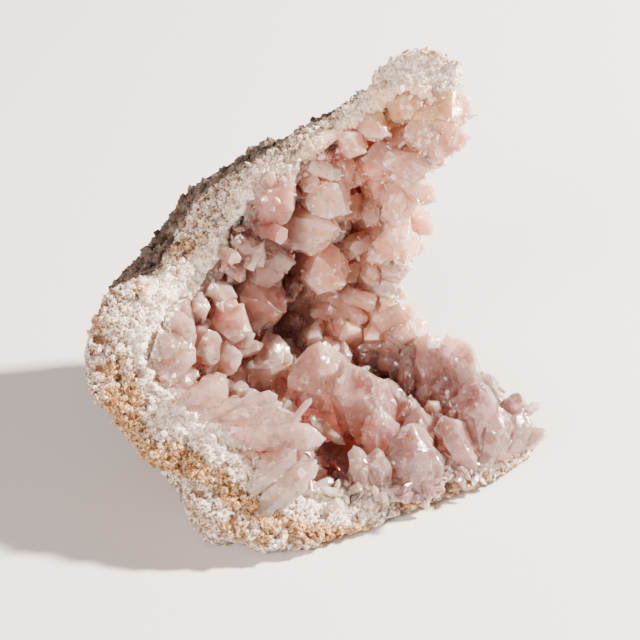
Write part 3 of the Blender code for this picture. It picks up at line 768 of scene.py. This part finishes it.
def makeRock(name, look, grains):
    made, tree = newMaterial(name)
    where = addNode(tree, "ShaderNodeTexCoord").outputs["Object"]
    zone = {
        label: addNode(tree, "ShaderNodeAttribute", attribute_name=label).outputs["Fac"]
        for label in ("rind", "tan", "white", "pit", "warm", "deep", "grainTint")
    }
    patch = addNode(tree, "ShaderNodeTexNoise", {"Vector": where, "Scale": 1 / (look["patch"] * mm), "Detail": 4})
    grit = addNode(tree, "ShaderNodeTexNoise", {"Vector": where, "Scale": 1 / (look["grit"] * mm), "Detail": 3})
    fine = zone["grainTint"]
    if not grains:
        fine = addNode(tree, "ShaderNodeMapRange", {"Value": grit, "From Min": 0.35, "From Max": 0.6})
    tone = {
        label: addNode(
            tree, "ShaderNodeMix", {"Factor": fine, "A": linear(look[label][0]), "B": linear(look[label][1])},
            data_type="RGBA",
        )
        for label in ("chalk", "stain", "rind", "clean")
    }
    stained = addNode(tree, "ShaderNodeMath", {0: patch, 1: zone["tan"]}, operation="MULTIPLY")
    stained = addNode(tree, "ShaderNodeMapRange", {"Value": stained, "From Min": 0.2, "From Max": 0.42})
    speck = addNode(tree, "ShaderNodeTexNoise", {"Vector": where, "Scale": look["speckScale"], "Detail": 2})
    speck = addNode(tree, "ShaderNodeMapRange", {"Value": speck, "From Min": 0.55, "From Max": 0.62, "To Max": 0.8})
    bare = addNode(
        tree, "ShaderNodeMapRange", {"Value": zone["white"], "From Max": 0.8, "To Min": 1.0, "To Max": 0.25}
    )
    speck = addNode(tree, "ShaderNodeMath", {0: speck, 1: bare}, operation="MULTIPLY")
    rust = addNode(tree, "ShaderNodeTexNoise", {"Vector": where, "Scale": look["rustScale"], "Detail": 3})
    rust = addNode(tree, "ShaderNodeMapRange", {"Value": rust, "From Min": 0.6, "From Max": 0.7})
    rust = addNode(tree, "ShaderNodeMath", {0: rust, 1: zone["tan"]}, operation="MULTIPLY")
    sunk = addNode(tree, "ShaderNodeMath", {0: zone["pit"], 1: 0.8}, operation="MULTIPLY")
    # each layer covers the ones before it where its share is high
    body = tone["chalk"]
    for share, over in (
        (stained, tone["stain"]), (zone["rind"], tone["rind"]), (zone["white"], tone["clean"]),
        (speck, linear(look["speck"])), (rust, linear(look["rust"])), (zone["warm"], linear(look["warm"])),
        (sunk, linear(look["pit"])), (zone["deep"], linear(look["inside"])),
    ):
        body = addNode(tree, "ShaderNodeMix", {"Factor": share, "A": body, "B": over}, data_type="RGBA")
    bump = addNode(tree, "ShaderNodeBump", {"Height": grit, "Strength": 0.8, "Distance": look["gritDepth"]})
    shader = addNode(
        tree, "ShaderNodeBsdfPrincipled",
        {"Base Color": body, "Roughness": look["roughness"], "Normal": bump, "Specular IOR Level": 0.35,
         "Subsurface Weight": 0.08, "Subsurface Radius": (1.0, 0.7, 0.5), "Subsurface Scale": 0.0008},
    )
    addNode(tree, "ShaderNodeOutputMaterial", {"Surface": shader})
    return made


# Rose quartz: glassy and milky at once. Light goes in and comes out softly. Its ridges are painted paler, partly as
# wear and partly as a painted highlight, and the listed hollows are painted wine red as shade.
quartzLook = {
    "pale": "#f9dbd0",
    "rose": "#f3d2c9",
    "mauve": "#bd9299",
    # painted shade under the roof
    "roofShadeRose": "#dc8274",
    "peach": "#ffae94",
    "amber": "#f2b283",
    "ember": "#d2a094",
    # painted shade for the listed hollows
    "paintedShadeWine": "#6a1c14",
    "white": "#fff3ea",
    "veil": 6.0,  # mm, the size of its milky veils
    "facet": 1.7,  # mm, the size of the small facets that catch the light
    "facetTilt": 0.42,
    "fleck": 0.45,  # mm, the size of the finest facets, where the crystal is milky
    "fleckTilt": 1.1,
    "cloud": 0.4,  # how strong the veils are
    "frost": 1.2,  # mm, the size of the frosted spots
    "frosted": 0.55,  # how strong they are
    "soft": 6.0,  # mm, how far light spreads under the surface
    "through": 0.8,  # how much light goes straight through, where it is clear
    "ior": 1.54,
    "absorb": "#f0c4b8",
    "density": 20.0,
    "mauveFrom": 0.002,  # m across, where rose starts to turn mauve, and where it has turned
    "mauveTo": 0.015,
    "scratchScale": 1100,  # fine scratches, as noise per metre
    "scratchDepth": 0.0002,  # m
    "coat": 0.4,
    "underSkin": 0.75,  # the share of light that spreads under the surface
}


def makeQuartz(name, look, small):
    made, tree = newMaterial(name)
    where = addNode(tree, "ShaderNodeTexCoord").outputs["Object"]
    zone = {
        label: addNode(tree, "ShaderNodeAttribute", attribute_name=label).outputs["Fac"]
        for label in ("lip", "shade", "deep", "roof", "ridge", "glow", "amber", "crystal", "grainTint")
    }
    own = zone["grainTint"] if small else zone["crystal"]
    veil = addNode(tree, "ShaderNodeTexNoise", {"Vector": where, "Scale": 1 / (look["veil"] * mm), "Detail": 6})
    across = addNode(tree, "ShaderNodeSeparateXYZ", {"Vector": where}).outputs["X"]
    side = addNode(
        tree, "ShaderNodeMapRange", {"Value": across, "From Min": look["mauveFrom"], "From Max": look["mauveTo"]}
    )
    body = addNode(
        tree, "ShaderNodeMix", {"Factor": side, "A": linear(look["rose"]), "B": linear(look["mauve"])},
        data_type="RGBA",
    )
    # painted shade: a darker, rosier pink under the roof
    roofShade = addNode(tree, "ShaderNodeMath", {0: zone["roof"], 1: 0.8}, operation="MULTIPLY")
    tint = addNode(
        tree, "ShaderNodeMapRange", {"Value": own, "From Min": 0.1, "From Max": 1.0, "To Max": 0.5}
    )
    milky = addNode(
        tree, "ShaderNodeMapRange", {"Value": veil, "From Min": 0.42, "From Max": 0.75, "To Max": look["cloud"]}
    )
    frost = addNode(
        tree, "ShaderNodeTexNoise",
        {"Vector": where, "Scale": 1 / (look["frost"] * mm), "Detail": 8, "Roughness": 0.75, "Distortion": 0.6},
    )
    frost = addNode(
        tree, "ShaderNodeMapRange",
        {"Value": frost, "From Min": 0.5, "From Max": 0.72, "To Max": look["frosted"]},
    )
    lit = addNode(tree, "ShaderNodeMath", {0: zone["glow"], 1: roofShade}, operation="MAXIMUM")
    lit = addNode(tree, "ShaderNodeMapRange", {"Value": lit, "To Min": 1.0, "To Max": 0.45})
    frost = addNode(tree, "ShaderNodeMath", {0: frost, 1: lit}, operation="MULTIPLY")
    # the ridges are painted paler: partly wear, partly a painted highlight
    edge = addNode(tree, "ShaderNodeMath", {0: zone["ridge"], 1: 0.7}, operation="MULTIPLY")
    shaded = addNode(tree, "ShaderNodeMath", {0: zone["shade"], 1: 0.75}, operation="MULTIPLY")
    # among these layers, the wine red of the listed hollows is painted shade
    for share, over in (
        (roofShade, "roofShadeRose"), (zone["glow"], "peach"), (tint, "pale"), (milky, "pale"), (frost, "white"),
        (zone["amber"], "amber"), (edge, "white"), (shaded, "ember"), (zone["deep"], "paintedShadeWine"), (zone["lip"], "white"),
    ):
        body = addNode(
            tree, "ShaderNodeMix", {"Factor": share, "A": body, "B": linear(look[over])}, data_type="RGBA"
        )
    fleck = addNode(tree, "ShaderNodeTexVoronoi", {"Vector": where, "Scale": 1 / (look["fleck"] * mm)})
    facets = addNode(tree, "ShaderNodeTexVoronoi", {"Vector": where, "Scale": 1 / (look["facet"] * mm)})
    tilt = addNode(
        tree, "ShaderNodeVectorMath", {0: facets.outputs["Color"], 1: (0.5, 0.5, 0.5)}, operation="SUBTRACT"
    )
    tilt = addNode(tree, "ShaderNodeVectorMath", {0: tilt, "Scale": look["facetTilt"]}, operation="SCALE")
    flecked = addNode(
        tree, "ShaderNodeVectorMath", {0: fleck.outputs["Color"], 1: (0.5, 0.5, 0.5)}, operation="SUBTRACT"
    )
    rubbed = addNode(tree, "ShaderNodeMath", {0: milky, 1: frost}, operation="MAXIMUM")
    rubbed = addNode(tree, "ShaderNodeMath", {0: rubbed, 1: look["fleckTilt"]}, operation="MULTIPLY")
    flecked = addNode(tree, "ShaderNodeVectorMath", {0: flecked, "Scale": rubbed}, operation="SCALE")
    tilt = addNode(tree, "ShaderNodeVectorMath", {0: tilt, 1: flecked}, operation="ADD")
    plain = addNode(tree, "ShaderNodeNewGeometry").outputs["Normal"]
    tilted = addNode(tree, "ShaderNodeVectorMath", {0: plain, 1: tilt}, operation="ADD")
    tilted = addNode(tree, "ShaderNodeVectorMath", {0: tilted}, operation="NORMALIZE")
    scratch = addNode(
        tree, "ShaderNodeTexNoise",
        {"Vector": where, "Scale": look["scratchScale"], "Detail": 6, "Roughness": 0.6},
    )
    bump = addNode(
        tree, "ShaderNodeBump",
        {"Height": scratch, "Strength": 0.6, "Distance": look["scratchDepth"], "Normal": tilted},
    )
    rough = addNode(
        tree, "ShaderNodeMapRange",
        {"Value": veil, "From Min": 0.35, "From Max": 0.65, "To Min": 0.08, "To Max": 0.32},
    )
    upper = addNode(tree, "ShaderNodeMath", {0: zone["roof"], 1: 0.45}, operation="MULTIPLY")
    cloudy = zone["lip"]
    for share in (milky, frost, zone["glow"], upper):
        cloudy = addNode(tree, "ShaderNodeMath", {0: cloudy, 1: share}, operation="MAXIMUM")
    clear = addNode(
        tree, "ShaderNodeMapRange",
        {"Value": cloudy, "From Max": 1.0, "To Min": look["through"], "To Max": look["through"] * 0.35},
    )
    shader = addNode(
        tree, "ShaderNodeBsdfPrincipled",
        {"Base Color": body, "Roughness": rough, "IOR": look["ior"], "Normal": bump,
         "Coat Weight": look["coat"], "Coat Roughness": 0.05, "Coat Normal": tilted,
         "Transmission Weight": clear, "Subsurface Weight": look["underSkin"],
         "Subsurface Radius": (1.0, 0.8, 0.72), "Subsurface Scale": look["soft"] * mm},
    )
    inside = addNode(
        tree, "ShaderNodeVolumeAbsorption", {"Color": linear(look["absorb"]), "Density": look["density"]}
    )
    addNode(tree, "ShaderNodeOutputMaterial", {"Surface": shader, "Volume": inside})
    return made


# The small points are thinner, so light spreads less far in them. Those of the peak are milkier, and the five
# that stand alone are nearly colourless.
drusyLook = {**quartzLook, "soft": 1.5}
milkyLook = {**quartzLook, "soft": 2.5, "through": 0.2, "peach": "#f8b3a2"}
clearLook = {**quartzLook, "soft": 1.5, "through": 0.85, "rose": "#fbe4dc", "mauve": "#f6e2de"}

print("materials")
chalkyRock = makeRock("weathered chalcedony", rockLook, False)
looseGrain = makeRock("chalcedony grains", rockLook, True)
roseQuartz = makeQuartz("rose quartz", quartzLook, False)
drusyQuartz = makeQuartz("drusy quartz", drusyLook, True)
milkyQuartz = makeQuartz("milky quartz", milkyLook, True)
clearQuartz = makeQuartz("clear quartz", clearLook, True)
for piece, finish in ((rockShell, chalkyRock), (crystalCrust, roseQuartz)):
    piece.data.materials.clear()
    piece.data.materials.append(finish)

# Grains on the broken rim, knobs on the old outside, and drusy points between the large crystals. Sizes in
# metres, densities to the square metre, tilts in radians, sink as a share of each shape's own size.
rimGrainLayout = {
    "Spacing": 0.0004, "Density": 9e6, "Smallest": 0.0003, "Largest": 0.0013, "Slimmest": 0.6, "Widest": 1.15,
    "Tilt": 3.1, "Sink": 0.1, "Seed": 3,
}
rindKnobLayout = {
    "Spacing": 0.0009, "Density": 2e6, "Smallest": 0.0008, "Largest": 0.003, "Slimmest": 0.7, "Widest": 1.1,
    "Tilt": 3.1, "Sink": 0.2, "Seed": 5,
}
drusyLayout = {
    "Spacing": 0.00065, "Density": 2.6e6, "Smallest": 0.001, "Largest": 0.0042, "Slimmest": 0.45, "Widest": 0.85,
    "Tilt": 0.55, "Sink": 0.25, "Seed": 7,
}
overgrowthLayout = {
    "Spacing": 0.0017, "Density": 5e5, "Smallest": 0.002, "Largest": 0.0062, "Slimmest": 0.6, "Widest": 1.1,
    "Tilt": 0.8, "Sink": 0.72, "Seed": 12,
}
peakSugarLayout = {
    **drusyLayout, "Spacing": 0.0007, "Density": 1.6e6, "Smallest": 0.0006, "Largest": 0.0018, "Sink": 0.6,
    "Seed": 15,
}
lipSugarLayout = {**rimGrainLayout, "Seed": 4}
rimBudLayout = {**drusyLayout, "Density": 4e5, "Seed": 8}


# Each row: name, ground, where it grows, layout, shapes and finish.
def scatterPieces(rows):
    return [
        scatter(name, ground, scatterTree(name + "Scatter", share), {**layout, "Shapes": kinds, "Finish": finish})
        for name, ground, share, layout, kinds, finish in rows
    ]


print("scatter")
rimGrains, rindKnobs, peakSugar, overgrowth = scatterPieces((
    ("rimGrains", rockShell, "rimShare", rimGrainLayout, grainShapes, looseGrain),
    ("rindKnobs", rockShell, "rindShare", rindKnobLayout, grainShapes, looseGrain),
    ("peakSugar", crystalCrust, "peakShare", peakSugarLayout, pointShapes, milkyQuartz),
    ("overgrowth", crystalCrust, "growth", overgrowthLayout, pointShapes, roseQuartz),
))
clearPoints = standCrystals("clearPoints", (treeOf(crystalCrust), rockTree), clearCrystals, seed=3)
clearPoints.data.materials.append(clearQuartz)
rounded = clearPoints.modifiers.new("rounded", "BEVEL")
rounded.width = 0.06 * mm
clearPoints = newPiece("clearPoints", settled(clearPoints, "clearPoints"))
lipSugar, rimBuds, drusyPoints = scatterPieces((
    ("lipSugar", crystalCrust, "sugar", lipSugarLayout, grainShapes, looseGrain),
    ("rimBuds", rockShell, "budShare", rimBudLayout, pointShapes, drusyQuartz),
    ("drusyPoints", crystalCrust, "drusy", drusyLayout, pointShapes, drusyQuartz),
))

# Floor, lights and camera.
print("floor, lights and camera")
bpy.ops.mesh.primitive_plane_add(size=6, location=(0, 0, 0))
floor = bpy.context.object
floor.name = "paleFloor"
floorMaterial, tree = newMaterial("pale floor")
shader = addNode(tree, "ShaderNodeBsdfPrincipled", {"Base Color": linear("#dcdde0"), "Roughness": 0.7})
addNode(tree, "ShaderNodeOutputMaterial", {"Surface": shader})
floor.data.materials.append(floorMaterial)

world = bpy.data.worlds.new("studio")
bpy.context.scene.world = world
world.use_nodes = True
world.node_tree.nodes["Background"].inputs["Color"].default_value = linear("#f6f1ec")
world.node_tree.nodes["Background"].inputs["Strength"].default_value = 0.24

# Soft lamps: angles in degrees, distances and sizes in metres, power in watts.
lamps = {
    "keyLight": {
        "azimuth": 12, "elevation": 33, "distance": 1.0, "size": 0.08, "power": 84, "colour": "#ffefdc",
    },
    "fillLight": {
        "azimuth": 232, "elevation": 34, "distance": 1.2, "size": 0.5, "power": 20, "colour": "#ffe6d8",
    },
}
lampAim = Vector((0, 0, 0.03))


def addLamp(name, azimuth, elevation, distance, size, power, colour):
    # a square soft light; azimuth 0 is out along +X and 90 along +Y
    lamp = bpy.data.lights.new(name, "AREA")
    lamp.size = size
    lamp.energy = power
    lamp.color = linear(colour)[:3]
    made = bpy.data.objects.new(name, lamp)
    bpy.context.scene.collection.objects.link(made)
    a, e = math.radians(azimuth), math.radians(elevation)
    away = Vector((math.cos(a) * math.cos(e), math.sin(a) * math.cos(e), math.sin(e)))
    made.location = away * distance + lampAim
    made.rotation_mode = "QUATERNION"
    made.rotation_quaternion = away.to_track_quat("Z", "Y")


for name, values in lamps.items():
    addLamp(name, **values)

camera = bpy.data.cameras.new("camera")
camera.lens = view["lens"]
camera.sensor_width = view["sensor"]
camera.clip_start = 0.01
cameraObject = bpy.data.objects.new("camera", camera)
bpy.context.scene.collection.objects.link(cameraObject)
cameraObject.location = eye
cameraObject.rotation_mode = "QUATERNION"
cameraObject.rotation_quaternion = (-backAxis).to_track_quat("Z", "Y")
bpy.context.scene.camera = cameraObject

# The pieces go under the root body; the imported solids are hidden.
for piece, slot in (
    (rockShell, "rock"), (rimGrains, "rock"), (rindKnobs, "rock"), (lipSugar, "rock"), (crystalCrust, "quartz"),
    (drusyPoints, "quartz"), (rimBuds, "quartz"), (overgrowth, "quartz"), (peakSugar, "quartz"),
    (clearPoints, "quartz"),
):
    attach(piece, "root")
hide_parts("geode_shell")
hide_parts("crystal_crust")
